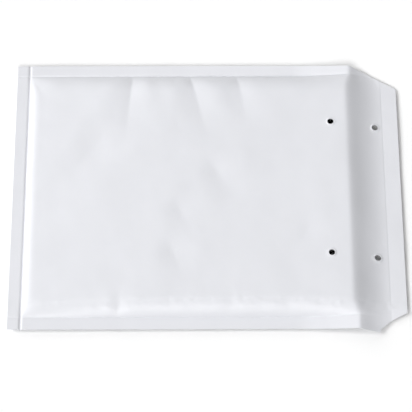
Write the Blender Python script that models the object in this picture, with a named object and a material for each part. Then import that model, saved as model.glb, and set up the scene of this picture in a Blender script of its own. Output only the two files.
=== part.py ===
"""Padded envelope: a white kraft paper bag lined with bubble film, with an unsealed flap.

It lies on its lower panel. The length runs along X with the flap at the +X end,
the width along Y, and +Z is up. The bag is two webs, each of paper with bubble film
inside it, joined along three margins. The upper web runs on over the fold into the
flap, which droops to the surface that the envelope lies on. The lower web stops just
short of the fold, so the mouth is open under the flap. Two pairs of holes, one through
the body and one through the flap, take paper fasteners when the flap is folded over.
"""
import math

import bmesh
import bpy

# Overall sizes, in metres
BODY_LENGTH = 0.275        # closed end to the fold of the flap
BODY_WIDTH = 0.240         # across the glued margins
BODY_HEIGHT = 0.0134       # thickness of the filled-out middle
SEAM_WIDTH = 0.0102        # glued margin on three sides
FLANK_RUN = 0.016          # distance over which the body swells from the seam
FLANK_POWER = 2.2          # how abruptly it swells
FLANK_END = 1.06           # share of the flank at its last grid position

# Materials
PAPER = 0.00035            # kraft paper
FILM = 0.0033              # bubble film
GAP = 0.0003               # clearance between pieces
FILM_INSET = 0.15          # share of the flank that the film stays short of the seam
FILM_CLEARANCE = 0.0001    # height of the flap's film over the surface below
SEAM_LEVEL = 0.00125       # height of the joined line over the surface below

# Flap
FLAP_REACH = 0.0375        # fold to the free edge, in plan
LINED_REACH = 0.0243       # fold to the end of the film
CREST_SETBACK = 0.0055     # the fold starts to round over this far before its line
DROOP_ROUNDING = 0.12      # share of the droop over which the fold rounds
DROOP_EASE = 0.65          # how much the droop levels out towards the crease
CREASE_HEIGHT = 0.0033     # top of the paper where the film ends
CREASE_STEP = 0.0004       # width over which the paper steps down there
TIP_HEIGHT = 0.0020        # top of the paper at the free edge
FOLD_CORNER_RISE = 0.0012  # the margins lift at the fold
SIDE_FLARE = 0.0031        # the near side spreads out past the body
NIB_REACH = 0.0158         # fold to the square nib where the near bevel starts
NIB_STEP = 0.0026          # depth of that nib
CORNER_RUN = 0.03          # length over which the margins rise to the fold
NEAR_CREASE_INSET = 0.0057
NEAR_TIP_INSET = 0.0128
FAR_CREASE_INSET = 0.0163
FAR_MID_REACH = 0.0138
FAR_MID_INSET = 0.0081
FAR_TIP_INSET = 0.0236
MOUTH_SETBACK = 0.0085     # lower panel's edge to the fold
LOWER_INSET = 0.0003       # how far the lower panel stays inside the upper one's edge
FILM_SETBACK = 0.0006      # lower film's edge to the lower panel's
FILM_EDGE = 0.004          # film's edge to the far bevel

# Fastener holes
HOLE_RADIUS = 0.0027
HOLE_SPACING = 0.1193
BODY_HOLE_SETBACK = 0.0194
FLAP_HOLE_REACH = 0.0172
FLAP_HOLE_SHIFT = -0.001

# Seal
ADHESIVE_WIDTH = 0.007
STRIP_WIDTH = 0.010
STRIP_END_INSET = 0.004

# Derived positions
FOLD_X = BODY_LENGTH
CREST_X = FOLD_X - CREST_SETBACK
CREASE_X = FOLD_X + LINED_REACH
TIP_X = FOLD_X + FLAP_REACH
NIB_X = FOLD_X + NIB_REACH
MOUTH_X = FOLD_X - MOUTH_SETBACK
FAR_SEAM = BODY_WIDTH - SEAM_WIDTH
SEAM_TOP = SEAM_LEVEL + PAPER + GAP / 2
SEAM_BOTTOM = SEAM_LEVEL - PAPER - GAP / 2
FILM_START = SEAM_WIDTH + FLANK_RUN * FILM_INSET
PLAN_CENTRE = ((0.0 + TIP_X) / 2, (BODY_WIDTH - SIDE_FLARE) / 2)

# Furrows in the upper panel. Each starts at a line: the far or the near seam, from which
# the second coordinate counts inwards, or the middle of the width. In turn: that line, the
# start, the end, the widths on its left and right, their growth to the end, the depth.
FURROWS = (
    ("far", (0.0945, -0.002), (0.0995, 0.052), 0.0050, 0.0080, 1.8, 0.0015),
    ("far", (0.1428, -0.002), (0.1485, 0.058), 0.0050, 0.0085, 1.9, 0.0015),
    ("far", (0.1812, -0.002), (0.1830, 0.042), 0.0050, 0.0080, 1.7, 0.0007),
    ("far", (0.0120, 0.001), (0.0290, 0.032), 0.0040, 0.0050, 1.8, 0.0011),
    ("near", (0.0855, 0.000), (0.0892, 0.024), 0.0035, 0.0055, 1.6, 0.0009),
    ("near", (0.0120, 0.000), (0.0230, 0.016), 0.0035, 0.0050, 1.8, 0.0009),
    ("near", (0.1720, 0.000), (0.1780, 0.020), 0.0040, 0.0060, 1.6, 0.0005),
    ("near", (0.2220, 0.000), (0.2140, 0.020), 0.0040, 0.0060, 1.6, 0.0005),
    ("middle", (0.0780, 0.056), (0.0320, -0.005), 0.0090, 0.0110, 1.2, 0.0007),
    ("middle", (0.1560, 0.026), (0.1850, -0.022), 0.0050, 0.0090, 1.3, 0.0007),
    ("middle", (0.1300, -0.014), (0.1475, -0.048), 0.0050, 0.0080, 1.3, 0.0007),
    ("middle", (0.1250, -0.050), (0.1400, -0.086), 0.0050, 0.0080, 1.2, 0.0006),
)
SHOULDER = 0.25            # rise beside a furrow, over its depth
STATION = 0.0125           # spacing of the sheets' grid where they are nearly flat
CLOSE_STATIONS = (-0.0095, -0.0045, 0.0, 0.0045, 0.0105)   # around the start of a deep furrow
DEEP = 0.0010              # depth from which a furrow gets close stations


def clamp(value, low=0.0, high=1.0):
    return max(low, min(high, value))


def smooth(value):
    t = clamp(value)
    return t * t * (3 - 2 * t)


def mix(a, b, t):
    return a + (b - a) * t


def along(points, x):
    """Height or inset read from a run of (x, value) pairs."""
    if x <= points[0][0]:
        return points[0][1]
    for (x0, v0), (x1, v1) in zip(points, points[1:]):
        if x <= x1:
            return mix(v0, v1, (x - x0) / (x1 - x0))
    return points[-1][1]


def swell(distance, run=FLANK_RUN):
    """Rise of the filled-out bag with distance from its seam, 0 to 1."""
    return 1 - (1 - clamp(distance / run)) ** FLANK_POWER


def near_edge(x):
    """Near side of the upper panel and flap, before the bevel is cut."""
    return -SIDE_FLARE * math.sin(clamp((x - FOLD_X) / NIB_REACH) * math.pi / 2) if x > FOLD_X else 0.0


def droop(t):
    """Fall of the flap: its slope builds up over the fold, then eases off."""
    round_off, ease = DROOP_ROUNDING, DROOP_EASE
    decay = math.exp(-t / round_off)
    return (t - ease * t * t / 2 - round_off * (1 - decay * (1 - ease * t))
            + ease * round_off ** 2 * (1 - decay))


def crown(x):
    """Height of the paper's top along the middle of the width."""
    if x <= CREST_X:
        return mix(SEAM_TOP, BODY_HEIGHT, swell(x - SEAM_WIDTH))
    if x <= CREASE_X:
        share = droop((x - CREST_X) / (CREASE_X - CREST_X)) / droop(1.0)
        return mix(BODY_HEIGHT, CREASE_HEIGHT, share)
    bare = clamp((x - CREASE_X - CREASE_STEP) / (TIP_X - CREASE_X - CREASE_STEP))
    return mix(CREASE_HEIGHT - PAPER / 2, TIP_HEIGHT, bare)


def side_height(x, far):
    """Height of the paper's top along a side edge."""
    corner = SEAM_TOP + FOLD_CORNER_RISE
    tip = TIP_HEIGHT * (1.0 if far else 1.5)
    return along(((FOLD_X - CORNER_RUN, SEAM_TOP), (FOLD_X - 0.004, corner), (FOLD_X, corner),
                  (FOLD_X + 0.009, SEAM_TOP * 0.8), (NIB_X, SEAM_TOP * 0.75),
                  (CREASE_X, SEAM_TOP * 1.1), (TIP_X, tip)), x)


def cross(x, y):
    """Share of the crown's height at y, with the flap flatter at its sides than the body."""
    t = smooth((x - FOLD_X) / LINED_REACH)
    run = mix(FLANK_RUN, FLANK_RUN * 2.2, t)
    low = mix(SEAM_WIDTH, 0.002, t)
    return swell(y - low, run) * swell(BODY_WIDTH - low - y, run)


def place(line, point):
    """Plan position of a furrow's point, given from the line that it starts at."""
    x, y = point
    return x, {"near": SEAM_WIDTH + y, "far": FAR_SEAM - y, "middle": BODY_WIDTH / 2 + y}[line]


def inside(x, y, run=FLANK_RUN):
    """How far the bag has filled out, 0 at the three seams and 1 past their flanks."""
    return (swell(x - SEAM_WIDTH, run) * swell(y - SEAM_WIDTH, run)
            * swell(FAR_SEAM - y, run))


def furrows(x, y):
    """Depth of the furrows, less the rise of their shoulders."""
    depth_here = 0.0
    for line, first, last, left, right, growth, depth in FURROWS:
        (x0, y0), (x1, y1) = place(line, first), place(line, last)
        dx, dy = x1 - x0, y1 - y0
        length = math.hypot(dx, dy)
        t = ((x - x0) * dx + (y - y0) * dy) / length ** 2
        if not -0.5 < t < 1.0:
            continue
        across = ((y - y0) * dx - (x - x0) * dy) / length * (1 if dy < 0 else -1)
        width = (left if across < 0 else right) * mix(1.0, growth, clamp(t))
        reach = abs(across) / width
        fade = 1 - smooth((t - 0.1) / 0.9)
        if line == "middle":
            fade *= smooth(t / 0.35)
        depth_here += depth * fade * (math.exp(-reach ** 1.5)
                                      - SHOULDER * math.exp(-(reach - 2.0) ** 2))
    return depth_here * clamp(inside(x, y) * 1.4)


def form(x, y):
    """Paper's top without its furrows."""
    side = mix(side_height(x, False), side_height(x, True), smooth(y / BODY_WIDTH))
    return side + (crown(x) - side) * cross(x, y)


def top(x, y):
    return form(x, y) - furrows(x, y)


def underside(x, y):
    """Bottom of the lower panel: flat on the surface below, lifted along the seams."""
    return SEAM_BOTTOM * (1 - inside(x, y, FLANK_RUN * 0.5))


def stretch(x, y):
    """Vertical measure of one unit of thickness on the sloping upper web."""
    step = 0.0004
    slope_x = (form(x + step, y) - form(x - step, y)) / (2 * step)
    slope_y = (form(x, y + step) - form(x, y - step)) / (2 * step)
    return min(1.9, math.sqrt(1 + slope_x ** 2 + slope_y ** 2))


def upper_inside(x, y):
    """Underside of the upper paper."""
    return top(x, y) - PAPER * stretch(x, y)


def lower_inside(x, y):
    """Upper side of the lower paper."""
    return underside(x, y) + PAPER


def upper_film_top(x, y):
    return top(x, y) - (PAPER + GAP) * stretch(x, y)


def lower_film_bottom(x, y):
    return underside(x, y) + PAPER + GAP


def parting(x, y):
    """Height at which the two films would meet, halfway between the papers."""
    return (form(x, y) - (PAPER + GAP) * stretch(x, y) + lower_film_bottom(x, y)) / 2


def upper_film_bottom(x, y):
    """Pocket side of the upper film. In the flap it is pressed flat on the surface below."""
    level = form(x, y) - (PAPER + GAP + FILM) * stretch(x, y)
    pressed = parting(x, y) + GAP / 2
    if x > MOUTH_X:
        pressed = mix(pressed, FILM_CLEARANCE, smooth((x - MOUTH_X) / (FOLD_X - MOUTH_X)))
    return max(level, pressed)


def lower_film_top(x, y):
    """Pocket side of the lower film."""
    return min(lower_film_bottom(x, y) + FILM, parting(x, y) - GAP / 2)


def stations(*runs):
    """Sorted grid positions from (start, end, count) runs, ends included once."""
    return merged([mix(start, end, i / count) for start, end, count in runs for i in range(count + 1)])


def flank(edge, sign):
    """Positions close together where the bag swells from a seam."""
    return [edge + sign * FLANK_RUN * share for share in (0.0, FILM_INSET, 0.34, 0.58, FLANK_END)]


def merged(*lists, apart=0.0004):
    """Sorted positions that lie far enough apart."""
    values = sorted(v for values in lists for v in values)
    kept = [values[0]]
    for value in values[1:]:
        if value - kept[-1] > apart:
            kept.append(value)
    return kept


def close_to_furrows(low, high):
    """Extra positions along the length where the deep furrows start."""
    starts = [first[0] for line, first, *_, depth in FURROWS if line == "far" and depth >= DEEP]
    return [x + offset for x in starts for offset in CLOSE_STATIONS if low < x + offset < high]


def rows(low, high, *extra):
    """Positions between two flanks: the extra ones, and an even run where none is near."""
    count = round((high - low) / STATION)
    even = [mix(low, high, i / count) for i in range(1, count)]
    fixed = sorted([low, high, *extra])
    return merged([v for v in even if min(abs(v - f) for f in fixed) > STATION * 0.45], fixed)


def sheet(name, xs, ys, bottom, upper, edge=None):
    """Closed sheet over a grid of positions, between two heights, with one diagonal throughout."""
    bm = bmesh.new()
    nx, ny = len(xs) - 1, len(ys) - 1
    bmesh.ops.create_grid(bm, x_segments=nx, y_segments=ny, size=0.5)
    for vert in bm.verts:
        i = round((vert.co.x + 0.5) * nx)
        j = round((vert.co.y + 0.5) * ny)
        x, y = xs[i], ys[j]
        vert.co = (x, edge(x) if edge and j == 0 else y, 0.0)
    for face in list(bm.faces):
        corners = sorted(face.verts, key=lambda v: v.co.x + v.co.y)
        bmesh.utils.face_split(face, corners[0], corners[-1])
    drawn = bmesh.ops.extrude_face_region(bm, geom=bm.faces[:], use_keep_orig=True)
    raised = {item for item in drawn["geom"] if isinstance(item, bmesh.types.BMVert)}
    for vert in bm.verts:
        x, y = vert.co.x, vert.co.y
        vert.co.z = upper(x, y) if vert in raised else bottom(x, y)
    bmesh.ops.recalc_face_normals(bm, faces=bm.faces[:])
    return finish(name, bm)


def finish(name, bm):
    for vert in bm.verts:
        vert.co.x -= PLAN_CENTRE[0]
        vert.co.y -= PLAN_CENTRE[1]
    mesh = bpy.data.meshes.new(name)
    bm.to_mesh(mesh)
    bm.free()
    obj = bpy.data.objects.new(name, mesh)
    return obj


def prism(name, outline, low, high):
    """Upright cutter with a flat outline."""
    bm = bmesh.new()
    face = bm.faces.new([bm.verts.new((x, y, low)) for x, y in outline])
    drawn = bmesh.ops.extrude_face_region(bm, geom=[face], use_keep_orig=True)
    for item in drawn["geom"]:
        if isinstance(item, bmesh.types.BMVert):
            item.co.z = high
    bmesh.ops.recalc_face_normals(bm, faces=bm.faces[:])
    return finish(name, bm)


def punch(name, x, y, radius, low, high, segments=24):
    """Round cutter that stands on its axis."""
    bm = bmesh.new()
    bmesh.ops.create_cone(bm, cap_ends=True, segments=segments, radius1=radius, radius2=radius,
                          depth=high - low)
    for vert in bm.verts:
        vert.co.x += x
        vert.co.y += y
        vert.co.z += (low + high) / 2
    return finish(name, bm)


def material(name, colour, roughness, specular=0.5):
    mat = bpy.data.materials.new(name)
    mat.use_nodes = True
    shader = mat.node_tree.nodes["Principled BSDF"]
    shader.inputs["Base Color"].default_value = (*colour, 1.0)
    shader.inputs["Roughness"].default_value = roughness
    shader.inputs["Metallic"].default_value = 0.0
    shader.inputs["Specular IOR Level"].default_value = specular
    mat.diffuse_color = (*colour, 1.0)
    return mat


def combine(obj, tool, operation):
    mod = obj.modifiers.new(tool.name, "BOOLEAN")
    mod.operation = operation
    mod.solver = "EXACT"
    mod.object = tool


def main():
    for obj in list(bpy.data.objects):
        bpy.data.objects.remove(obj, do_unlink=True)
    parts = bpy.data.collections.new("padded_envelope")
    tools = bpy.data.collections.new("cutters")
    for group in (parts, tools):
        bpy.context.scene.collection.children.link(group)

    def keep(obj, look):
        obj.data.materials.append(look)
        parts.objects.link(obj)
        return obj

    def cutter(obj):
        tools.objects.link(obj)
        obj.hide_render = True
        obj.display_type = "WIRE"
        return obj

    paper = material("white_kraft", (0.80, 0.81, 0.83), 0.55)
    film = material("bubble_film", (0.78, 0.79, 0.80), 0.25)
    glue = material("hot_melt", (0.75, 0.72, 0.62), 0.35)
    liner = material("release_paper", (0.74, 0.75, 0.76), 0.4)

    # Grid positions shared by the sheets, so that they nest without touching
    low, high = SEAM_WIDTH + FLANK_RUN * FLANK_END, FAR_SEAM - FLANK_RUN * FLANK_END
    corner_x = FOLD_X - CORNER_RUN
    body_xs = rows(low, MOUTH_X, *close_to_furrows(low, corner_x), corner_x)
    flap_xs = stations((CREST_X, FOLD_X, 4), (FOLD_X, CREASE_X, 7), (CREASE_X + CREASE_STEP, TIP_X, 3))
    xs = merged([0.0, SEAM_WIDTH / 2], flank(SEAM_WIDTH, 1), body_xs, flap_xs, [NIB_X])
    ys = merged([0.0, SEAM_WIDTH / 2], flank(SEAM_WIDTH, 1), rows(low, high), flank(FAR_SEAM, -1),
                [BODY_WIDTH - SEAM_WIDTH / 2, BODY_WIDTH])
    flat_xs = merged(flank(SEAM_WIDTH, 1), [corner_x])
    flat_ys = merged(flank(SEAM_WIDTH, 1), flank(FAR_SEAM, -1))

    # Paper: the upper panel runs on into the flap, the lower one ends at the mouth
    upper_panel = keep(sheet("upper_panel", xs, ys, upper_inside, top, near_edge), paper)
    panel_xs = merged([LOWER_INSET], flat_xs, [MOUTH_X])
    panel_ys = merged([LOWER_INSET], flat_ys, [BODY_WIDTH - LOWER_INSET])
    lower_panel = keep(sheet("lower_panel", panel_xs, panel_ys, underside, lower_inside), paper)

    # Bevels of the flap, with the square nib where the near one starts
    over, under = BODY_HEIGHT * 2, -BODY_HEIGHT
    clear_x, clear_y = TIP_X + 0.002, 0.03
    far_points = [(FOLD_X + 0.0002, 0.0001), (FOLD_X + FAR_MID_REACH, FAR_MID_INSET),
                  (CREASE_X, FAR_CREASE_INSET), (clear_x, FAR_TIP_INSET + 0.001)]
    near_bevel = [(NIB_X, -clear_y), (NIB_X, NIB_STEP - SIDE_FLARE), (CREASE_X, NEAR_CREASE_INSET),
                  (clear_x, NEAR_TIP_INSET + 0.001), (clear_x, -clear_y)]
    far_bevel = [(x, BODY_WIDTH - inset) for x, inset in far_points]
    far_bevel += [(clear_x, BODY_WIDTH + clear_y), (FOLD_X + 0.0002, BODY_WIDTH + clear_y)]
    for name, outline in (("near_bevel", near_bevel), ("far_bevel", far_bevel)):
        combine(upper_panel, cutter(prism(name, outline, under, over)), "DIFFERENCE")

    # Bubble film inside both papers, short of the seams
    def lined(values, end):
        return [v for v in values if FILM_START - PAPER < v < end]

    film_ys = lined(ys, BODY_WIDTH - FILM_START + PAPER)
    upper_film = keep(sheet("upper_film", lined(xs, CREASE_X - PAPER) + [CREASE_X - PAPER], film_ys,
                            upper_film_bottom, upper_film_top), film)
    lower_film = keep(sheet("lower_film", lined(panel_xs, MOUTH_X - FILM_SETBACK) + [MOUTH_X - FILM_SETBACK],
                            lined(flat_ys, BODY_WIDTH - FILM_START + PAPER),
                            lower_film_bottom, lower_film_top), film)
    film_bevel = [(x, BODY_WIDTH - inset - FILM_EDGE) for x, inset in far_points[1:]]
    film_bevel += [(clear_x, BODY_WIDTH), (film_bevel[0][0], BODY_WIDTH)]
    combine(upper_film, cutter(prism("film_bevel", film_bevel, under, over)), "DIFFERENCE")

    # Fastener holes through paper and film
    for side, sign in (("near", -1), ("far", 1)):
        y = BODY_WIDTH / 2 + sign * HOLE_SPACING / 2
        body_punch = cutter(punch(f"body_{side}_punch", FOLD_X - BODY_HOLE_SETBACK, y,
                                  HOLE_RADIUS, under, over))
        flap_punch = cutter(punch(f"flap_{side}_punch", FOLD_X + FLAP_HOLE_REACH, y + FLAP_HOLE_SHIFT,
                                  HOLE_RADIUS, under, over))
        for web in (upper_panel, upper_film, lower_panel, lower_film):
            combine(web, body_punch, "DIFFERENCE")
        for web in (upper_panel, upper_film):
            combine(web, flap_punch, "DIFFERENCE")

    # Seal on the inner side of the flap's bare paper
    def line(x0, x1, count):
        return stations((x0, x1, count))

    strip_mid = (CREASE_X + TIP_X) / 2 + 0.0004
    start, end = NEAR_TIP_INSET + STRIP_END_INSET, BODY_WIDTH - FAR_TIP_INSET - STRIP_END_INSET
    strip_ys = line(start, end, 8)

    def hung(depth):
        return lambda x, y: top(x, y) - PAPER - depth

    glue_low = GAP + 0.0002
    keep(sheet("seal_adhesive", line(strip_mid - ADHESIVE_WIDTH / 2, strip_mid + ADHESIVE_WIDTH / 2, 2),
               strip_ys, hung(glue_low), hung(GAP)), glue)
    keep(sheet("release_strip", line(strip_mid - STRIP_WIDTH / 2, strip_mid + STRIP_WIDTH / 2, 2),
               strip_ys, hung(glue_low + GAP + 0.0002), hung(glue_low + GAP)), liner)


main()
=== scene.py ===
"""Looks of the padded envelope: creased white kraft paper, bubble film, seal and stage.

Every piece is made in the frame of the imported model, at rest on the floor. Plan positions
count from the closed end along X and from the near side along Y, in metres.
"""
import math

import bmesh
import bpy
from mathutils import Matrix, Vector, noise


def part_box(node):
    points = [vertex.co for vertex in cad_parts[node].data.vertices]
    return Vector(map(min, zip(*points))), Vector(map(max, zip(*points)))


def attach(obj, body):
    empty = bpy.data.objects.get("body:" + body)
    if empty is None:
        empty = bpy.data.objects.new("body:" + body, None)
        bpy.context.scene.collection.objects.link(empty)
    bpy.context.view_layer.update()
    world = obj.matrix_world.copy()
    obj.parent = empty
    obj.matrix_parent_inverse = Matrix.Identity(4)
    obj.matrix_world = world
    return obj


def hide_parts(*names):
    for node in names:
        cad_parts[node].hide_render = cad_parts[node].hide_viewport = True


bl_info = {
    "name": "Padded Envelope",
    "version": (1, 0, 0),
    "blender": (4, 5, 0),
    "location": "3D View > Sidebar > Envelope",
    "description": "Paper, bubble film, seal and stage of a padded envelope",
    "category": "Add Mesh",
}

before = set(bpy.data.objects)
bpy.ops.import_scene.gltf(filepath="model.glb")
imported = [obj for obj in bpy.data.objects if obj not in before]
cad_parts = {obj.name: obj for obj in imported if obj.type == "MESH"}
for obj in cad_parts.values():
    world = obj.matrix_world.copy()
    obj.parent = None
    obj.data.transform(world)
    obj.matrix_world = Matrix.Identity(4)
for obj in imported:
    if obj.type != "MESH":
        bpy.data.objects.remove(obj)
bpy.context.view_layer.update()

# Places taken from the frame
LOWER_INSET = 0.0003
UPPER_LOW, UPPER_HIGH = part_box("upper_panel")
LOWER_LOW, LOWER_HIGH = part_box("lower_panel")
ORIGIN_X = UPPER_LOW[0]
ORIGIN_Y = LOWER_LOW[1] - LOWER_INSET
BODY_WIDTH = LOWER_HIGH[1] - LOWER_LOW[1] + 2 * LOWER_INSET
MOUTH_X = LOWER_HIGH[0] - ORIGIN_X
TIP_X = UPPER_HIGH[0] - ORIGIN_X

# The crinkled band on the near flank: its middle and its reach to both sides
BAND_MIDDLE = 0.0195
BAND_NEAR = 0.010
BAND_FAR = 0.008

# The clear film that carries the bubbles
BACKING = 0.00012

# Furrows in the upper panel. Each starts at a line: the far or the near seam, from which
# the second coordinate counts inwards, or the middle of the width. In turn: that line, the
# start, the end, the widths on its left and right, their growth to the end, the depth.
FURROWS = (
    ("far", (0.0958, 0.000), (0.0880, 0.085), 0.0060, 0.0050, 3.2, 0.0013),
    ("far", (0.1422, 0.000), (0.1620, 0.085), 0.0060, 0.0050, 3.2, 0.0013),
    ("far", (0.1806, 0.000), (0.1915, 0.060), 0.0050, 0.0044, 2.8, 0.0009),
    ("far", (0.1312, 0.001), (0.1270, 0.022), 0.0024, 0.0030, 2.2, 0.0005),
    ("far", (0.0120, 0.001), (0.0255, 0.026), 0.0036, 0.0046, 2.0, 0.0011),
    ("near", (0.0857, 0.001), (0.0892, 0.026), 0.0030, 0.0050, 1.8, 0.0009),
    ("near", (0.0115, 0.001), (0.0215, 0.016), 0.0035, 0.0050, 1.8, 0.0009),
    ("near", (0.1720, 0.000), (0.1780, 0.020), 0.0040, 0.0060, 1.6, 0.0005),
    ("near", (0.2220, 0.000), (0.2140, 0.020), 0.0040, 0.0060, 1.6, 0.0005),
    ("middle", (0.0820, 0.062), (0.0300, -0.008), 0.0100, 0.0130, 1.2, 0.0011),
    ("middle", (0.1540, 0.034), (0.1870, -0.024), 0.0075, 0.0110, 1.3, 0.0010),
    ("middle", (0.1280, -0.004), (0.1480, -0.050), 0.0080, 0.0110, 1.3, 0.0009),
    ("middle", (0.1230, -0.040), (0.1420, -0.092), 0.0080, 0.0110, 1.2, 0.0009),
    ("middle", (0.2450, -0.020), (0.2150, -0.080), 0.0110, 0.0120, 1.2, 0.0007),
)
# Height of the ridge beside a furrow, as a share of its depth
SHOULDER = 0.25

# Slow waves over the filled-out bag and over the margins: noise scale along X and Y, where
# the noise is read, height
BODY_WAVES = ((22, 26, 3.1, 0.00050), (60, 48, 7.7, 0.00013), (125, 105, 2.2, 0.00005))
MARGIN_WAVES = ((45, 45, 5.2, 0.00012), (260, 60, 8.4, 0.00004))
CRINKLE = ((210, 330, 1.3, 0.00022),)


class EnvelopeSizes(bpy.types.PropertyGroup):
    """Sizes of the paper and the film."""

    body_length: bpy.props.FloatProperty(
        name="Body length", description="Closed end to the fold of the flap",
        default=0.275, unit="LENGTH", precision=4)
    body_height: bpy.props.FloatProperty(
        name="Body height", description="Top of the filled-out middle",
        default=0.0132, unit="LENGTH", precision=4)
    seam_width: bpy.props.FloatProperty(
        name="Seam width", description="Glued margin on three sides",
        default=0.0102, unit="LENGTH", precision=4)
    flank_run: bpy.props.FloatProperty(
        name="Flank run", description="Distance over which the bag fills out from a seam",
        default=0.015, unit="LENGTH", precision=4)
    far_run: bpy.props.FloatProperty(
        name="Far run", description="The same along the far seam",
        default=0.0195, unit="LENGTH", precision=4)
    paper: bpy.props.FloatProperty(
        name="Paper", description="Thickness of the kraft paper",
        default=0.00032, unit="LENGTH", precision=5)
    lined_reach: bpy.props.FloatProperty(
        name="Lined reach", description="Fold to the crease where the film ends",
        default=0.0243, unit="LENGTH", precision=4)
    hole_radius: bpy.props.FloatProperty(
        name="Hole radius", description="Radius of the fastener holes",
        default=0.0025, unit="LENGTH", precision=4)
    film: bpy.props.FloatProperty(
        name="Film", description="Height of the film over its bubbles",
        default=0.0030, unit="LENGTH", precision=4)
    bubble_radius: bpy.props.FloatProperty(
        name="Bubble radius", description="Radius of one bubble at its foot",
        default=0.0047, unit="LENGTH", precision=4)
    bubble_pitch: bpy.props.FloatProperty(
        name="Bubble pitch", description="Distance between neighbouring bubbles",
        default=0.0105, unit="LENGTH", precision=4)


class EnvelopeColours(bpy.types.PropertyGroup):
    """Colours of the surfaces."""

    kraft: bpy.props.FloatVectorProperty(
        name="Kraft", description="Bleached kraft paper", subtype="COLOR",
        default=(0.739, 0.747, 0.782), min=0.0, max=1.0)
    film: bpy.props.FloatVectorProperty(
        name="Film", description="Clear bubble film", subtype="COLOR",
        default=(0.78, 0.79, 0.80), min=0.0, max=1.0)
    glue: bpy.props.FloatVectorProperty(
        name="Glue", description="Hot-melt seal", subtype="COLOR",
        default=(0.75, 0.72, 0.62), min=0.0, max=1.0)
    liner: bpy.props.FloatVectorProperty(
        name="Liner", description="Release paper over the seal", subtype="COLOR",
        default=(0.74, 0.75, 0.76), min=0.0, max=1.0)
    floor: bpy.props.FloatVectorProperty(
        name="Floor", description="Pale floor", subtype="COLOR",
        default=(0.985, 0.985, 0.985), min=0.0, max=1.0)


def clamp(value, low=0.0, high=1.0):
    return max(low, min(high, value))


def smooth(value):
    t = clamp(value)
    return t * t * (3 - 2 * t)


def mix(a, b, t):
    return a + (b - a) * t


def waves(layers, x, y):
    """Sum of noise layers, each given by its two scales, where it is read and its height."""
    return sum(noise.noise(Vector((x * scale_x, y * scale_y, z))) * height
               for scale_x, scale_y, z, height in layers)


def along(points, x):
    """Value read from a run of (x, value) pairs."""
    if x <= points[0][0]:
        return points[0][1]
    for (x0, v0), (x1, v1) in zip(points, points[1:]):
        if x <= x1:
            return mix(v0, v1, (x - x0) / (x1 - x0))
    return points[-1][1]


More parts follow.
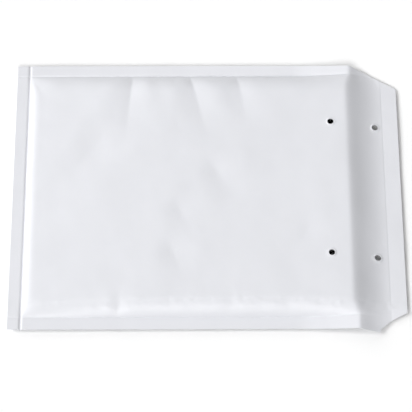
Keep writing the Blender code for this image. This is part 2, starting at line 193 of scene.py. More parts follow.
class Form:
    """Heights and outlines of the envelope over its plan."""

    # Filled-out body: how its flanks curve, how its top sinks towards the closed end
    flank_power = 2.2
    closed_run = 0.0105
    closed_power = 3.0
    crown_reach = 0.170
    crown_drop = 0.0066
    soft_edge = 1.4

    # Glued margins, which lift towards the fold's ends and flare out there
    gap = 0.0003
    seam_level = 0.0035
    near_corner_height = 0.0092
    far_corner_height = 0.0080
    near_corner_shift = 0.0018
    far_corner_shift = 0.0023
    corner_run = 0.045
    margin_power = 1.3
    side_flare = 0.0027
    side_band = 0.045

    # Fold: where the fall starts and ends, and how its slope builds up and eases off
    crest_setback = 0.0062
    side_setback = 0.0022
    side_fall_reach = 0.018
    droop_rounding = 0.13
    droop_ease = 0.85

    # Flap: its levels at the crease and the tip, then its cut sides
    crease_height = 0.0033
    side_crease_height = 0.0017
    crease_step = 0.0004
    tip_height = 0.0026
    near_tip_height = 0.0026
    far_tip_height = 0.0022
    side_margin = 0.002
    side_spread = 2.2
    nib_reach = 0.0158
    nib_slant = 0.0005
    nib_step = 0.0026
    near_crease_inset = 0.0069
    near_tip_inset = 0.0142
    far_mid = (0.0136, 0.0076)
    far_crease_inset = 0.0147
    far_tip_inset = 0.0221

    # Fastener holes and the paper pushed up round them
    hole_spacing = 0.1193
    hole_offset = 0.0014
    hole_skew = 0.0013
    body_hole_setback = 0.0193
    flap_hole_reach = 0.0175
    flap_hole_shift = -0.001
    rim_height = 0.00055
    rim_radius = 0.0028
    rim_width = 0.0006
    rim_reach = 0.008

    # Furrows: how their sides curve, and where along them they fade in and out
    furrow_reach = 5
    furrow_power = 1.15
    dent_power = 1.5
    dent_rise = 0.35
    fade_start = 0.1

    # Crinkles of the near flank and the pressed lines along the seams
    crinkle_setback = 0.010
    crinkle_width = 0.006
    crinkle_start = 0.06
    closed_groove = 0.0009
    near_groove = 0.00022
    far_groove = 0.00030
    groove_width = 0.0008
    groove_end = 0.004

    # Film: its distance from the seams and the flap's sides, and its least height
    film_inset = 0.15
    film_edge = 0.004
    thinnest = 0.0002
    steepest = 1.9
    slope_step = 0.0004

    def __init__(self, sizes):
        self.fold = sizes.body_length
        self.height = sizes.body_height
        self.seam = sizes.seam_width
        self.run = sizes.flank_run
        self.far_run = sizes.far_run
        self.paper = sizes.paper
        self.film = sizes.film
        self.far_seam = BODY_WIDTH - self.seam
        self.crease = self.fold + sizes.lined_reach
        self.nib = self.fold + self.nib_reach
        self.seam_top = self.seam_level + self.paper + self.gap / 2
        self.film_start = self.seam + self.run * self.film_inset
        self.near_points = ((self.nib, -self.side_flare),
                            (self.nib + self.nib_slant, self.nib_step - self.side_flare),
                            (self.crease, self.near_crease_inset), (TIP_X, self.near_tip_inset))
        self.far_points = ((self.fold, self.far_corner_shift),
                           (self.fold + self.far_mid[0], self.far_mid[1]),
                           (self.crease, self.far_crease_inset), (TIP_X, self.far_tip_inset))
        self.furrows = [self.measured(*furrow) for furrow in FURROWS]
        self.holes = []
        for sign in (-1, 1):
            y = BODY_WIDTH / 2 + self.hole_offset + sign * self.hole_spacing / 2
            skew = sign * self.hole_skew
            self.holes.append((self.fold - self.body_hole_setback + skew, y))
            self.holes.append((self.fold + self.flap_hole_reach + skew, y + self.flap_hole_shift))

    def measured(self, line, first, last, left, right, growth, depth):
        """Start, step and size of a furrow in plan."""
        start_y = {"near": self.seam, "far": self.far_seam, "middle": BODY_WIDTH / 2}[line]
        sign = -1 if line == "far" else 1
        x0, y0 = first[0], start_y + sign * first[1]
        dx, dy = last[0] - x0, start_y + sign * last[1] - y0
        return x0, y0, dx, dy, math.hypot(dx, dy), left, right, growth, depth, line == "middle"

    def swell(self, distance, run=None, power=flank_power):
        """Rise of the filled-out bag with distance from its seam, 0 to 1."""
        return 1 - (1 - clamp(distance / (run or self.run))) ** power

    def level(self, x):
        """Paper's top along the middle, which sinks towards the closed end."""
        level = self.height - self.crown_drop * clamp(1 - x / self.crown_reach) ** 2
        filled = self.swell(x - self.seam, self.closed_run, self.closed_power)
        return mix(self.seam_top, level, filled)

    def inside(self, x, y, share=1.0):
        """How far the bag has filled out: 0 at the three seams, 1 past a share of their flanks."""
        run = self.run * share
        return (self.swell(x - self.seam, run) * self.swell(y - self.seam, run)
                * self.swell(self.far_seam - y, self.far_run * share))

    def corner_share(self, x):
        """How far the margins have risen towards the fold."""
        return clamp((x - self.fold + self.corner_run) / self.corner_run)

    def near_side(self, x):
        if x <= self.fold:
            return -self.near_corner_shift * self.corner_share(x)
        if x <= self.nib:
            turn = math.sin((x - self.fold) / self.nib_reach * math.pi / 2)
            return -mix(self.near_corner_shift, self.side_flare, turn)
        return along(self.near_points, x)

    def far_side(self, x):
        if x <= self.fold:
            return BODY_WIDTH - self.far_corner_shift * self.corner_share(x)
        return BODY_WIDTH - along(self.far_points, x)

    def droop(self, t):
        """Fall of the flap: its slope builds up over the fold, then eases off."""
        decay = math.exp(-t / self.droop_rounding)
        return (t - self.droop_ease * t * t / 2
                - self.droop_rounding * (1 - decay * (1 - self.droop_ease * t))
                + self.droop_ease * self.droop_rounding ** 2 * (1 - decay))

    def breadth(self, y):
        """How far the body has filled out across its width."""
        return self.swell(y - self.seam) * self.swell(self.far_seam - y, self.far_run)

    def margin(self, x, y):
        """Height of the paper's top along the side margins, which lift towards the fold."""
        corner = mix(self.near_corner_height, self.far_corner_height, smooth(y / BODY_WIDTH))
        return mix(self.seam_top, corner, self.corner_share(x) ** self.margin_power)

    def body(self, x, y):
        """Paper's top over the body."""
        side = self.margin(x, y)
        return side + (self.level(x) - side) * self.breadth(y)

    def flap(self, x, y):
        """Level to which the flap falls at the crease, and its bare paper beyond."""
        start = self.crease + self.crease_step
        bare = clamp((x - start) / (TIP_X - start))
        middle = self.crease_height
        if x > self.crease:
            middle = mix(self.crease_height - self.paper / 2, self.tip_height, bare)
        tip = mix(self.near_tip_height, self.far_tip_height, smooth(y / BODY_WIDTH))
        side = mix(self.side_crease_height, tip, bare)
        run = self.run * self.side_spread
        return side + (middle - side) * (self.swell(y - self.side_margin, run)
                                         * self.swell(BODY_WIDTH - self.side_margin - y, run))

    def fall(self, x, y):
        """Share of the way down from the body to the crease, sharper at the fold's ends."""
        filled = self.breadth(y)
        start = self.fold - mix(self.side_setback, self.crest_setback, filled)
        nearness = max(filled, 1 - smooth(y / BODY_WIDTH))
        end = mix(self.fold + self.side_fall_reach, self.crease, nearness)
        return self.droop(clamp((x - start) / (end - start))) / self.droop(1.0)

    def furrow_depth(self, x, y):
        """Depth of the furrows, less the rise of their shoulders."""
        depth_here = 0.0
        for x0, y0, dx, dy, length, left, right, growth, depth, inner in self.furrows:
            t = ((x - x0) * dx + (y - y0) * dy) / length ** 2
            if not -0.5 < t < 1.0:
                continue
            across = ((y - y0) * dx - (x - x0) * dy) / length * (1 if dy < 0 else -1)
            width = (left if across < 0 else right) * mix(1.0, growth, clamp(t))
            reach = abs(across) / width
            if reach > self.furrow_reach:
                continue
            fade = 1 - smooth((t - self.fade_start) / (1 - self.fade_start))
            power = self.furrow_power
            if inner:
                fade *= smooth(t / self.dent_rise)
                power = self.dent_power
            depth_here += depth * fade * (math.exp(-reach ** power)
                                          - SHOULDER * math.exp(-(reach - 2.0) ** 2))
        return depth_here

    def form(self, x, y):
        """Paper's top without its furrows."""
        return mix(self.body(x, y), self.flap(x, y), self.fall(x, y))

    def creases(self, x, y):
        """Small unevenness of handled paper: slow waves, short crinkles and pressed seam lines."""
        filled = self.inside(x, y)
        band = math.exp(-((y - self.seam - self.crinkle_setback) / self.crinkle_width) ** 2)
        band *= smooth((x - self.crinkle_start) / self.crinkle_start)
        grooves = 0.0
        if x <= self.fold - self.groove_end:
            for distance, depth in ((x - self.seam, self.closed_groove),
                                    (y - self.seam, self.near_groove),
                                    (self.far_seam - y, self.far_groove)):
                grooves += depth * math.exp(-(distance / self.groove_width) ** 2)
        return (waves(BODY_WAVES, x, y) * clamp(filled * self.soft_edge)
                + waves(CRINKLE, x, y) * band + waves(MARGIN_WAVES, x, y) * (1 - filled) - grooves)

    def rims(self, x, y):
        """Paper pushed up round the punched holes."""
        rise = 0.0
        for hole_x, hole_y in self.holes:
            distance = math.hypot(x - hole_x, y - hole_y)
            if distance < self.rim_reach:
                rise += self.rim_height * math.exp(-((distance - self.rim_radius) / self.rim_width) ** 2)
        return rise

    def top(self, x, y):
        depth = self.furrow_depth(x, y) * clamp(self.inside(x, y) * self.soft_edge)
        return self.form(x, y) - depth + self.creases(x, y) + self.rims(x, y)

    def underside(self, x, y):
        """Bottom of the lower panel: flat on the surface below, lifted along the margins."""
        return (self.margin(x, y) - 2 * self.paper - self.gap) * (1 - self.inside(x, y, 0.5))

    def stretch(self, x, y):
        """Vertical measure of one unit of thickness on the sloping upper web."""
        step = self.slope_step
        slope_x = (self.form(x + step, y) - self.form(x - step, y)) / (2 * step)
        slope_y = (self.form(x, y + step) - self.form(x, y - step)) / (2 * step)
        return min(self.steepest, math.sqrt(1 + slope_x ** 2 + slope_y ** 2))

    def upper_film_roof(self, x, y):
        depth = max(0.0, self.furrow_depth(x, y)) * clamp(self.inside(x, y) * self.soft_edge)
        return self.form(x, y) - (self.paper + 2 * self.gap) * self.stretch(x, y) - depth

    def lower_film_base(self, x, y):
        return self.underside(x, y) + self.paper + self.gap

    def parting(self, x, y):
        """Height at which the two films would meet, halfway between the papers."""
        return (self.form(x, y) - (self.paper + self.gap) * self.stretch(x, y)
                + self.lower_film_base(x, y)) / 2

    def upper_film_end(self, x, y):
        """Height of the upper film's bubbles on the pocket's side."""
        level = self.form(x, y) - (self.paper + self.gap + self.film) * self.stretch(x, y)
        pressed = self.parting(x, y) + self.gap / 2
        if x > MOUTH_X:
            pressed = mix(pressed, 0.0001, smooth((x - MOUTH_X) / (self.fold - MOUTH_X)))
        return min(max(level, pressed), self.upper_film_roof(x, y) - self.thinnest)

    def lower_film_end(self, x, y):
        """Height of the lower film's bubbles on the pocket's side."""
        base = self.lower_film_base(x, y)
        return max(min(base + self.film, self.parting(x, y) - self.gap / 2), base + self.thinnest)

    def spread(self, x, y):
        """Widthwise place of a grid row, drawn in where the flap's sides are cut."""
        band = self.side_band
        if y < band:
            return mix(self.near_side(x), band, y / band)
        if y > BODY_WIDTH - band:
            return mix(self.far_side(x), BODY_WIDTH - band, (BODY_WIDTH - y) / band)
        return y


def graded(start, end, coarse, marks):
    """Positions from start to end, closer together near each (position, spacing, reach) mark."""
    nearest = 0.00018
    values = [start]
    while values[-1] < end:
        x = values[-1]
        values.append(x + min([coarse] + [mix(fine, coarse, smooth(abs(x - mark) / reach))
                                          for mark, fine, reach in marks]))
    fixed = [start, end] + [mark for mark, fine, reach in marks if start < mark < end]
    loose = [v for v in values if v < end and min(abs(v - f) for f in fixed) > nearest]
    return sorted(set(loose + fixed))


def grid(xs, ys, place):
    """Open grid whose points go where place(x, y) says, in the frame."""
    bm = bmesh.new()
    nx, ny = len(xs) - 1, len(ys) - 1
    bmesh.ops.create_grid(bm, x_segments=nx, y_segments=ny, size=0.5)
    for vert in bm.verts:
        i, j = round((vert.co.x + 0.5) * nx), round((vert.co.y + 0.5) * ny)
        x, y, z = place(xs[i], ys[j])
        vert.co = (x + ORIGIN_X, y + ORIGIN_Y, z)
    return bm


def linked(name, bm, material):
    """New object from a finished bmesh, shaded smooth."""
    mesh = bpy.data.meshes.new(name)
    bm.to_mesh(mesh)
    bm.free()
    mesh.materials.append(material)
    mesh.shade_smooth()
    obj = bpy.data.objects.new(name, mesh)
    bpy.context.scene.collection.objects.link(obj)
    return obj


def thicken(obj, thickness):
    wall = obj.modifiers.new("wall", "SOLIDIFY")
    wall.thickness = thickness
    wall.offset = -1.0
    wall.use_even_offset = False


def punched(obj, form, radius, holes):
    """Applies the modifiers and cuts the round holes."""
    bm = bmesh.new()
    for x, y in holes:
        place = Matrix.Translation((x + ORIGIN_X, y + ORIGIN_Y, form.height / 2))
        bmesh.ops.create_cone(bm, cap_ends=True, segments=48, radius1=radius, radius2=radius,
                              depth=form.height * 3, matrix=place)
    mesh = bpy.data.meshes.new("punch")
    bm.to_mesh(mesh)
    bm.free()
    cutter = bpy.data.objects.new("punch", mesh)
    bpy.context.scene.collection.objects.link(cutter)
    cut = obj.modifiers.new("holes", "BOOLEAN")
    cut.operation = "DIFFERENCE"
    cut.solver = "EXACT"
    cut.object = cutter
    baked(obj)
    bpy.data.objects.remove(cutter)


def baked(obj):
    """Replaces the mesh by its evaluated self and clears the modifiers."""
    graph = bpy.context.evaluated_depsgraph_get()
    mesh = bpy.data.meshes.new_from_object(obj.evaluated_get(graph))
    old = obj.data
    obj.modifiers.clear()
    obj.data = mesh
    bpy.data.meshes.remove(old)
    mesh.name = obj.name
    mesh.set_sharp_from_angle(angle=math.radians(50))


def group(name, inputs, outputs):
    """Empty shader node group with float inputs (name, default) and named outputs."""
    tree = bpy.data.node_groups.new(name, "ShaderNodeTree")
    for label, default in inputs:
        socket = tree.interface.new_socket(label, in_out="INPUT", socket_type="NodeSocketFloat")
        socket.default_value = default
    for label, kind in outputs:
        tree.interface.new_socket(label, in_out="OUTPUT", socket_type=kind)
    return tree, tree.nodes.new("NodeGroupInput"), tree.nodes.new("NodeGroupOutput")


def paper_fibre_group():
    """Cloudy tone and fibre relief of machine-glazed paper, and the near flank's crinkle."""
    tree, given, result = group(
        "paper_fibre",
        (("Cloud Scale", 40.0), ("Fibre Scale", 900.0)),
        (("Cloud", "NodeSocketFloat"), ("Fibre", "NodeSocketFloat"), ("Crinkle", "NodeSocketFloat")))
    nodes, links = tree.nodes, tree.links
    place = nodes.new("ShaderNodeTexCoord")
    cloud = nodes.new("ShaderNodeTexNoise")
    cloud.inputs["Detail"].default_value = 5.0
    cloud.inputs["Roughness"].default_value = 0.6
    stretched = nodes.new("ShaderNodeMapping")
    stretched.inputs["Scale"].default_value = (1.0, 0.35, 1.0)
    fibre = nodes.new("ShaderNodeTexNoise")
    fibre.inputs["Detail"].default_value = 3.0
    fibre.inputs["Distortion"].default_value = 1.2
    crinkle = nodes.new("ShaderNodeTexNoise")
    crinkle.noise_type = "RIDGED_MULTIFRACTAL"
    crinkle.inputs["Scale"].default_value = 150.0
    crinkle.inputs["Detail"].default_value = 3.0
    links.new(place.outputs["Object"], cloud.inputs["Vector"])
    links.new(place.outputs["Object"], stretched.inputs["Vector"])
    links.new(place.outputs["Object"], crinkle.inputs["Vector"])
    links.new(stretched.outputs["Vector"], fibre.inputs["Vector"])
    links.new(given.outputs["Cloud Scale"], cloud.inputs["Scale"])
    links.new(given.outputs["Fibre Scale"], fibre.inputs["Scale"])
    links.new(cloud.outputs["Fac"], result.inputs["Cloud"])
    links.new(fibre.outputs["Fac"], result.inputs["Fibre"])
    split = nodes.new("ShaderNodeSeparateXYZ")
    links.new(place.outputs["Object"], split.inputs["Vector"])
    masked = crinkle.outputs["Fac"]
    middle = ORIGIN_Y + BAND_MIDDLE
    for start, end in ((middle - BAND_NEAR, middle), (middle + BAND_FAR, middle)):
        edge = nodes.new("ShaderNodeMapRange")
        edge.interpolation_type = "SMOOTHSTEP"
        edge.inputs["From Min"].default_value = start
        edge.inputs["From Max"].default_value = end
        product = nodes.new("ShaderNodeMath")
        product.operation = "MULTIPLY"
        links.new(split.outputs["Y"], edge.inputs["Value"])
        links.new(masked, product.inputs[0])
        links.new(edge.outputs["Result"], product.inputs[1])
        masked = product.outputs["Value"]
    links.new(masked, result.inputs["Crinkle"])
    return tree


def new_material(name):
    material = bpy.data.materials.new(name)
    material.use_nodes = True
    return material, material.node_tree.nodes, material.node_tree.links


def paper_look(name, colour, fibre, roughness, relief):
    """Paper with cloudy tone, fibre relief and slightly uneven gloss."""
    material, nodes, links = new_material(name)
    shader = nodes["Principled BSDF"]
    shader.inputs["Specular IOR Level"].default_value = 0.45
    look = nodes.new("ShaderNodeGroup")
    look.node_tree = fibre
    tone = nodes.new("ShaderNodeMix")
    tone.data_type = "RGBA"
    tone.inputs["A"].default_value = (*[c * 0.975 for c in colour], 1.0)
    tone.inputs["B"].default_value = (*[min(1.0, c * 1.02) for c in colour], 1.0)
    gloss = nodes.new("ShaderNodeMapRange")
    gloss.inputs["From Min"].default_value = 0.3
    gloss.inputs["From Max"].default_value = 0.7
    gloss.inputs["To Min"].default_value = roughness - 0.05
    gloss.inputs["To Max"].default_value = roughness + 0.06
    bump = nodes.new("ShaderNodeBump")
    bump.inputs["Strength"].default_value = 0.35
    bump.inputs["Distance"].default_value = relief
    links.new(look.outputs["Cloud"], tone.inputs["Factor"])
    links.new(tone.outputs["Result"], shader.inputs["Base Color"])
    links.new(look.outputs["Cloud"], gloss.inputs["Value"])
    links.new(gloss.outputs["Result"], shader.inputs["Roughness"])
    links.new(look.outputs["Fibre"], bump.inputs["Height"])
    crushed = nodes.new("ShaderNodeBump")
    crushed.inputs["Strength"].default_value = 0.6
    crushed.inputs["Distance"].default_value = 0.0006
    links.new(look.outputs["Crinkle"], crushed.inputs["Height"])
    links.new(bump.outputs["Normal"], crushed.inputs["Normal"])
    links.new(crushed.outputs["Normal"], shader.inputs["Normal"])
    return material


def film_look(colour, fibre):
    """Clear polyethylene with faint haze."""
    material, nodes, links = new_material("film_look")
    shader = nodes["Principled BSDF"]
    shader.inputs["Transmission Weight"].default_value = 0.75
    shader.inputs["IOR"].default_value = 1.3
    look = nodes.new("ShaderNodeGroup")
    look.node_tree = fibre
    haze = nodes.new("ShaderNodeMapRange")
    haze.inputs["To Min"].default_value = 0.10
    haze.inputs["To Max"].default_value = 0.30
    tone = nodes.new("ShaderNodeMix")
    tone.data_type = "RGBA"
    tone.inputs["A"].default_value = (*colour, 1.0)
    tone.inputs["B"].default_value = (*[min(1.0, c * 1.15) for c in colour], 1.0)
    links.new(look.outputs["Cloud"], haze.inputs["Value"])
    links.new(haze.outputs["Result"], shader.inputs["Roughness"])
    links.new(look.outputs["Cloud"], tone.inputs["Factor"])
    links.new(tone.outputs["Result"], shader.inputs["Base Color"])
    return material


def shared(name, make):
    """Data made once and found again by name."""
    for store in (bpy.data.materials, bpy.data.node_groups):
        if name in store:
            return store[name]
    return make()


def fibre_group():
    return shared("paper_fibre", paper_fibre_group)


def kraft_material(context):
    colours = context.scene.envelope_colours
    return shared("kraft_look", lambda: paper_look(
        "kraft_look", colours.kraft, fibre_group(), roughness=0.40, relief=0.00006))


def film_material(context):
    colours = context.scene.envelope_colours
    return shared("film_look", lambda: film_look(colours.film, fibre_group()))


class EnvelopeOperator:
    """Shared by the operators: one undo step, available in any scene."""

    bl_options = {"REGISTER", "UNDO"}


class ENVELOPE_OT_upper_paper(EnvelopeOperator, bpy.types.Operator):
    """Upper sheet of kraft paper with its furrows, fold, flap and punched holes"""

    bl_idname = "envelope.upper_paper"
    bl_label = "Upper Paper"

    def execute(self, context):
        sizes = context.scene.envelope_sizes
        form = Form(sizes)
        hole_xs = sorted({x for x, y in form.holes})
        hole_ys = sorted({y for x, y in form.holes})
        x_marks = [(form.seam, 0.0004, 0.006), (form.seam + form.run, 0.0014, 0.010),
                   (form.fold, 0.0009, 0.012), (form.nib, 0.0005, 0.002),
                   (form.nib + form.nib_slant, 0.0005, 0.002), (form.crease, 0.0004, 0.004),
                   (form.crease + form.crease_step, 0.0004, 0.004)]
        x_marks += [(x, 0.0005, 0.007) for x in hole_xs]
        x_marks += [(first[0], 0.0009, 0.016) for line, first, *rest in FURROWS if line == "far"]
        y_marks = [(form.seam, 0.0004, 0.006), (form.far_seam, 0.0004, 0.006),
                   (form.seam + 0.010, 0.0012, 0.008), (form.far_seam - 0.010, 0.0014, 0.008)]
        y_marks += [(y, 0.0005, 0.007) for y in hole_ys]
        xs = graded(0.0, TIP_X, 0.0020, x_marks)
        ys = graded(0.0, BODY_WIDTH, 0.0020, y_marks)

        def place(x, y):
            y = form.spread(x, y)
            return x, y, form.top(x, y)

        obj = linked("upper_paper", grid(xs, ys, place), kraft_material(context))
        thicken(obj, form.paper)
        punched(obj, form, sizes.hole_radius, form.holes)
        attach(obj, "root")
        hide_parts("upper_panel")
        return {"FINISHED"}


class ENVELOPE_OT_lower_paper(EnvelopeOperator, bpy.types.Operator):
    """Lower sheet of kraft paper, glued under the upper one along three margins"""

    bl_idname = "envelope.lower_paper"
    bl_label = "Lower Paper"

    def execute(self, context):
        sizes = context.scene.envelope_sizes
        form = Form(sizes)
        x_marks = [(form.seam, 0.0010, 0.008)]
        y_marks = x_marks + [(form.far_seam, 0.0010, 0.008)]
        xs = graded(LOWER_INSET, MOUTH_X, 0.0040, x_marks)
        ys = graded(LOWER_INSET, BODY_WIDTH - LOWER_INSET, 0.0040, y_marks)

        def place(x, y):
            if y == ys[0]:
                y = form.near_side(x) + LOWER_INSET
            elif y == ys[-1]:
                y = form.far_side(x) - LOWER_INSET
            return x, y, form.underside(x, y)

        bm = grid(xs, ys, place)
        bmesh.ops.reverse_faces(bm, faces=bm.faces)
        obj = linked("lower_paper", bm, kraft_material(context))
        thicken(obj, form.paper)
        punched(obj, form, sizes.hole_radius, [hole for hole in form.holes if hole[0] < form.fold])
        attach(obj, "root")
        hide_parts("lower_panel")
        return {"FINISHED"}


def bubble_centres(form, sizes, end_x):
    """Staggered rows of bubble centres, clear of the film's edge and the holes."""
    pitch, radius = sizes.bubble_pitch, sizes.bubble_radius
    row_step = pitch * math.sqrt(3) / 2
    clear = radius + sizes.hole_radius
    row = 0
    x = form.film_start + radius
    while x < end_x - radius:
        y = form.film_start + radius + (pitch / 2 if row % 2 else 0.0)
        far = min(BODY_WIDTH - form.film_start, form.far_side(x + radius) - form.film_edge)
        while y < far - radius:
            if min(math.hypot(x - hx, y - hy) for hx, hy in form.holes) > clear:
                yield x, y
            y += pitch
        x += row_step
        row += 1


def bubble_sheet(name, form, sizes, end_x, back, crest, material):
    """Rows of round air bubbles that reach from the film's back to the crest height."""
    crown, rounding = 0.86, 0.3
    bm = bmesh.new()
    for x, y in bubble_centres(form, sizes, end_x):
        bmesh.ops.create_cone(bm, cap_ends=True, segments=12, radius1=sizes.bubble_radius,
                              radius2=sizes.bubble_radius * crown, depth=1.0,
                              matrix=Matrix.Translation((x, y, 0.5)))
    rims = [e for e in bm.edges if min(v.co.z for v in e.verts) > 0.99]
    for vert in bm.verts:
        vert.co.z *= sizes.film
    bmesh.ops.bevel(bm, geom=rims, offset=sizes.bubble_radius * rounding, offset_type="OFFSET",
                    affect="EDGES", segments=2, profile=0.5, material=-1)
    for vert in bm.verts:
        x, y, share = vert.co.x, vert.co.y, vert.co.z / sizes.film
        foot, end = back(x, y), crest(x, y)
        lift = BACKING / 2 * (1 if end > foot else -1)
        vert.co = (x + ORIGIN_X, y + ORIGIN_Y, mix(foot + lift, end, share))
    return linked(name, bm, material)


class ENVELOPE_OT_bubble_film(EnvelopeOperator, bpy.types.Operator):
    """Bubble film inside both papers"""

    bl_idname = "envelope.bubble_film"
    bl_label = "Bubble Film"

    hole_clearance = 0.0002

    def execute(self, context):
        sizes = context.scene.envelope_sizes
        form = Form(sizes)
        film = film_material(context)
        webs = (("upper_bubbles", "upper_film", form.crease - form.gap,
                 form.upper_film_roof, form.upper_film_end),
                ("lower_bubbles", "lower_film", MOUTH_X - 2 * form.gap,
                 form.lower_film_base, form.lower_film_end))
        for name, node, end_x, back, crest in webs:
            obj = self.web(name, form, sizes, end_x, back, crest, film)
            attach(obj, "root")
            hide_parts(node)
        return {"FINISHED"}

    def web(self, name, form, sizes, end_x, back, crest, film):
        """Backing film between two heights with its bubbles, as one object."""
        start, far = form.film_start, BODY_WIDTH - form.film_start
        xs = graded(start, end_x, 0.0045, [(start, 0.0015, 0.02), (form.fold, 0.002, 0.02)])
        ys = graded(start, far, 0.0045, [(start, 0.0015, 0.02), (far, 0.0015, 0.02)])

        def place(x, y):
            limit = min(far, form.far_side(x) - form.film_edge)
            y = start + (y - start) * (limit - start) / (far - start)
            return x, y, back(x, y)

        bm = grid(xs, ys, place)
        upwards = crest(0.1, 0.1) > back(0.1, 0.1)
        if upwards:
            bmesh.ops.reverse_faces(bm, faces=bm.faces)
        backing = linked(name, bm, film)
        thicken(backing, BACKING)
        holes = [hole for hole in form.holes if hole[0] < end_x]
        punched(backing, form, sizes.hole_radius + self.hole_clearance, holes)
        bubbles = bubble_sheet(name + "_domes", form, sizes, end_x, back, crest, film)
        merged = bmesh.new()
        merged.from_mesh(backing.data)
        merged.from_mesh(bubbles.data)
        merged.to_mesh(backing.data)
        merged.free()
        bpy.data.objects.remove(bubbles)
        return backing


class ENVELOPE_OT_seal(EnvelopeOperator, bpy.types.Operator):
    """Finish of the hot-melt line and its release strip, which keep their solids"""

    bl_idname = "envelope.seal"
    bl_label = "Seal"

    def execute(self, context):
        colours = context.scene.envelope_colours
        fibre = fibre_group()
        looks = {
            "seal_adhesive": paper_look("hot_melt", colours.glue, fibre, roughness=0.30, relief=0.00010),
            "release_strip": paper_look("release_paper", colours.liner, fibre, roughness=0.33,
                                        relief=0.00003)}
        for node, look in looks.items():
            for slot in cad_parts[node].material_slots:
                slot.material = look
        return {"FINISHED"}


# Soft lamps: azimuth and elevation seen from the envelope and width, in degrees, then strength
LAMPS = (
    ("low_back_left", 135.0, 22.0, 55.0, 1.45),
    ("left", 180.0, 40.0, 30.0, 1.70),
    ("front_left", 240.0, 40.0, 30.0, 1.00),
    ("front", 270.0, 40.0, 30.0, 0.98),
    ("overhead", 90.0, 84.0, 22.0, 0.33),
)
CAMERA_PLACE = (-0.00728, -0.79690, 1.48510)
CAMERA_PITCH = 1.0825374
CAMERA_YAW = 0.0081079
CAMERA_ROLL = 0.0044446
FOCAL_PIXELS = 2091.88
PHOTO_PIXELS = 412
SENSOR = 36.0


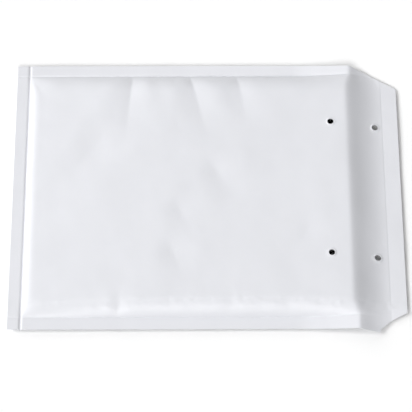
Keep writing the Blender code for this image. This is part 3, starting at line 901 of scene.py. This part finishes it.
class ENVELOPE_OT_stage(EnvelopeOperator, bpy.types.Operator):
    """Pale floor, white surroundings, soft lamps and the camera above the envelope"""

    bl_idname = "envelope.stage"
    bl_label = "Stage"

    def execute(self, context):
        scene = context.scene
        self.floor(scene)
        self.world(scene)
        for name, azimuth, elevation, width, strength in LAMPS:
            self.lamp(scene, name, azimuth, elevation, width, strength)
        self.camera(scene)
        scene.view_settings.view_transform = "Standard"
        return {"FINISHED"}

    def floor(self, scene):
        material, nodes, _ = new_material("pale_floor")
        shader = nodes["Principled BSDF"]
        shader.inputs["Roughness"].default_value = 0.9
        shader.inputs["Specular IOR Level"].default_value = 0.0
        shader.inputs["Base Color"].default_value = (*scene.envelope_colours.floor, 1.0)
        bm = bmesh.new()
        bmesh.ops.create_grid(bm, x_segments=1, y_segments=1, size=2.5,
                              matrix=Matrix.Translation((0, 0, -0.00005)))
        linked("floor", bm, material)

    def world(self, scene):
        world = bpy.data.worlds.new("surroundings")
        world.use_nodes = True
        nodes, links = world.node_tree.nodes, world.node_tree.links
        back = nodes["Background"]
        back.inputs["Color"].default_value = (1.0, 1.0, 1.0, 1.0)
        path = nodes.new("ShaderNodeLightPath")
        seen = nodes.new("ShaderNodeMath")
        seen.operation = "MAXIMUM"
        mirrored = nodes.new("ShaderNodeMath")
        mirrored.operation = "MAXIMUM"
        strength = nodes.new("ShaderNodeMix")
        strength.data_type = "FLOAT"
        strength.inputs["A"].default_value = scene.envelope_stage.ambient
        strength.inputs["B"].default_value = 1.0
        links.new(path.outputs["Is Camera Ray"], seen.inputs[0])
        links.new(path.outputs["Is Glossy Ray"], seen.inputs[1])
        links.new(seen.outputs[0], mirrored.inputs[0])
        links.new(path.outputs["Is Transmission Ray"], mirrored.inputs[1])
        links.new(mirrored.outputs[0], strength.inputs["Factor"])
        links.new(strength.outputs["Result"], back.inputs["Strength"])
        scene.world = world

    def lamp(self, scene, name, azimuth, elevation, width, strength):
        light = bpy.data.lights.new(name, "SUN")
        light.energy = strength
        light.angle = math.radians(width)
        obj = bpy.data.objects.new(name, light)
        turn, lift = math.radians(azimuth), math.radians(elevation)
        level = math.cos(lift)
        away = Vector((level * math.cos(turn), level * math.sin(turn), math.sin(lift)))
        obj.location = away
        obj.rotation_euler = away.to_track_quat("Z", "Y").to_euler()
        scene.collection.objects.link(obj)

    def camera(self, scene):
        data = bpy.data.cameras.new("camera")
        data.sensor_width = SENSOR
        data.lens = SENSOR * FOCAL_PIXELS / PHOTO_PIXELS
        obj = bpy.data.objects.new("camera", data)
        obj.matrix_world = (Matrix.Translation(CAMERA_PLACE) @ Matrix.Rotation(-CAMERA_YAW, 4, "Z")
                            @ Matrix.Rotation(math.pi / 2 - CAMERA_PITCH, 4, "X")
                            @ Matrix.Rotation(CAMERA_ROLL, 4, "Z"))
        scene.collection.objects.link(obj)
        scene.camera = obj


class EnvelopeStage(bpy.types.PropertyGroup):
    """Light around the envelope."""

    ambient: bpy.props.FloatProperty(
        name="Ambient", description="Strength of the even light from all around",
        default=0.0, min=0.0)


class ENVELOPE_PT_sidebar(bpy.types.Panel):
    """Sizes, colours and makers of the envelope"""

    bl_label = "Padded Envelope"
    bl_idname = "ENVELOPE_PT_sidebar"
    bl_space_type = "VIEW_3D"
    bl_region_type = "UI"
    bl_category = "Envelope"

    def draw(self, context):
        layout = self.layout
        scene = context.scene
        for settings in (scene.envelope_sizes, scene.envelope_colours, scene.envelope_stage):
            column = layout.column(align=True)
            for name in settings.__annotations__:
                column.prop(settings, name)
        for maker in MAKERS:
            layout.operator(maker.bl_idname)


MAKERS = (ENVELOPE_OT_upper_paper, ENVELOPE_OT_lower_paper, ENVELOPE_OT_bubble_film,
          ENVELOPE_OT_seal, ENVELOPE_OT_stage)
CLASSES = (EnvelopeSizes, EnvelopeColours, EnvelopeStage, *MAKERS, ENVELOPE_PT_sidebar)


def register():
    for cls in CLASSES:
        bpy.utils.register_class(cls)
    bpy.types.Scene.envelope_sizes = bpy.props.PointerProperty(type=EnvelopeSizes)
    bpy.types.Scene.envelope_colours = bpy.props.PointerProperty(type=EnvelopeColours)
    bpy.types.Scene.envelope_stage = bpy.props.PointerProperty(type=EnvelopeStage)


def unregister():
    del bpy.types.Scene.envelope_stage
    del bpy.types.Scene.envelope_colours
    del bpy.types.Scene.envelope_sizes
    for cls in reversed(CLASSES):
        bpy.utils.unregister_class(cls)


def main():
    register()
    bpy.ops.envelope.upper_paper()
    bpy.ops.envelope.lower_paper()
    bpy.ops.envelope.bubble_film()
    bpy.ops.envelope.seal()
    bpy.ops.envelope.stage()


if __name__ == "__main__":
    main()
